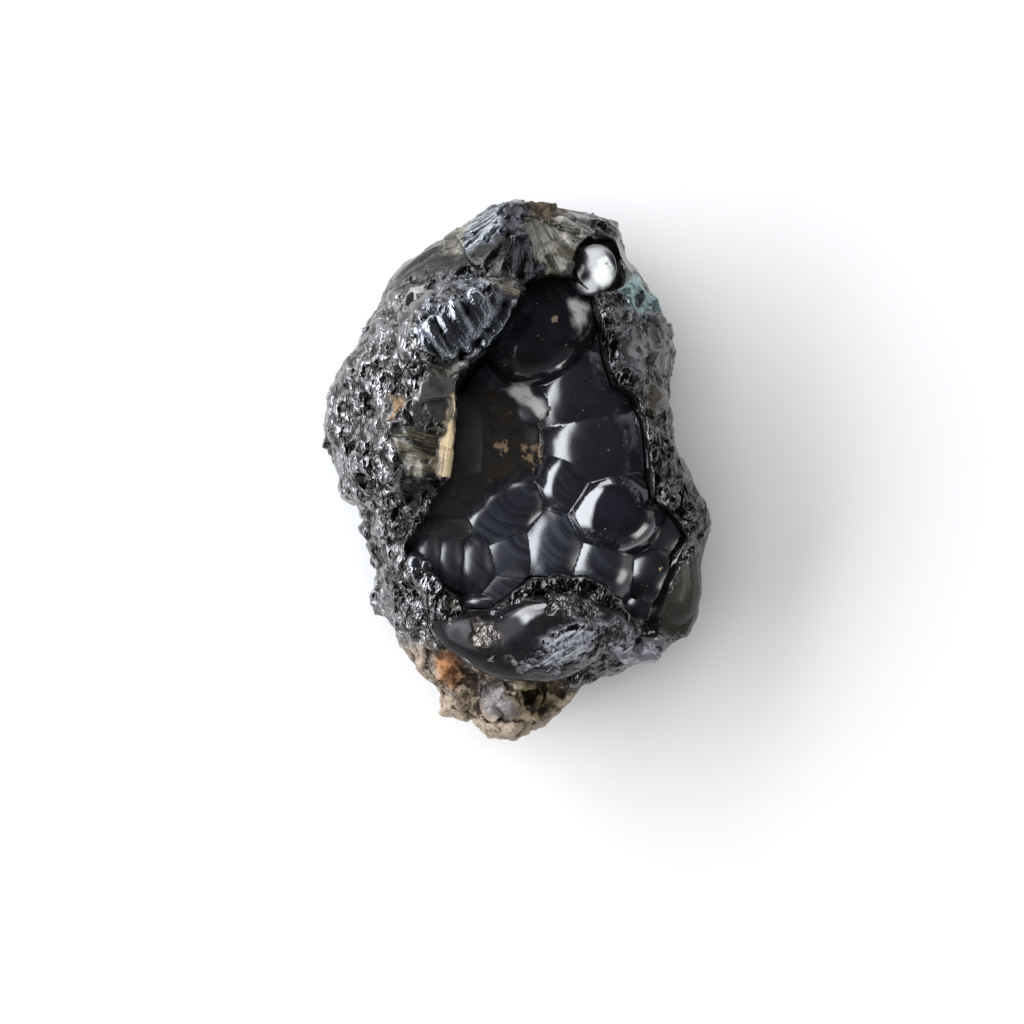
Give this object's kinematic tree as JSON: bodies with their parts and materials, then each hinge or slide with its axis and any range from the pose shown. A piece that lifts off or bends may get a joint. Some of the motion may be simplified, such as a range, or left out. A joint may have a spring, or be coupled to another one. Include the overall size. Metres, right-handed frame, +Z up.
{
  "type": "botryoidal hematite specimen",
  "caption": "Palm-sized lump of kidney ore: glossy black domes line a deep open pocket inside a rough, crusted rim, with a smooth kidney-shaped lip and rusty matrix at the near end.",
  "frame": {"origin": "on the flat resting face, under the middle of the outline", "axes": "+Z up, out of the pocket; +Y to the far end, where the fan of fibres is; +X right"},
  "size_m": [0.0723, 0.1003, 0.0487],
  "materials": {
    "hematite": "glossy black lining with a submetallic shine, over a sparkling dark grey crust and dull rusty matrix"
  },
  "bodies": {
    "root": {"hematite": "hematite"}
  },
  "joints": []
}
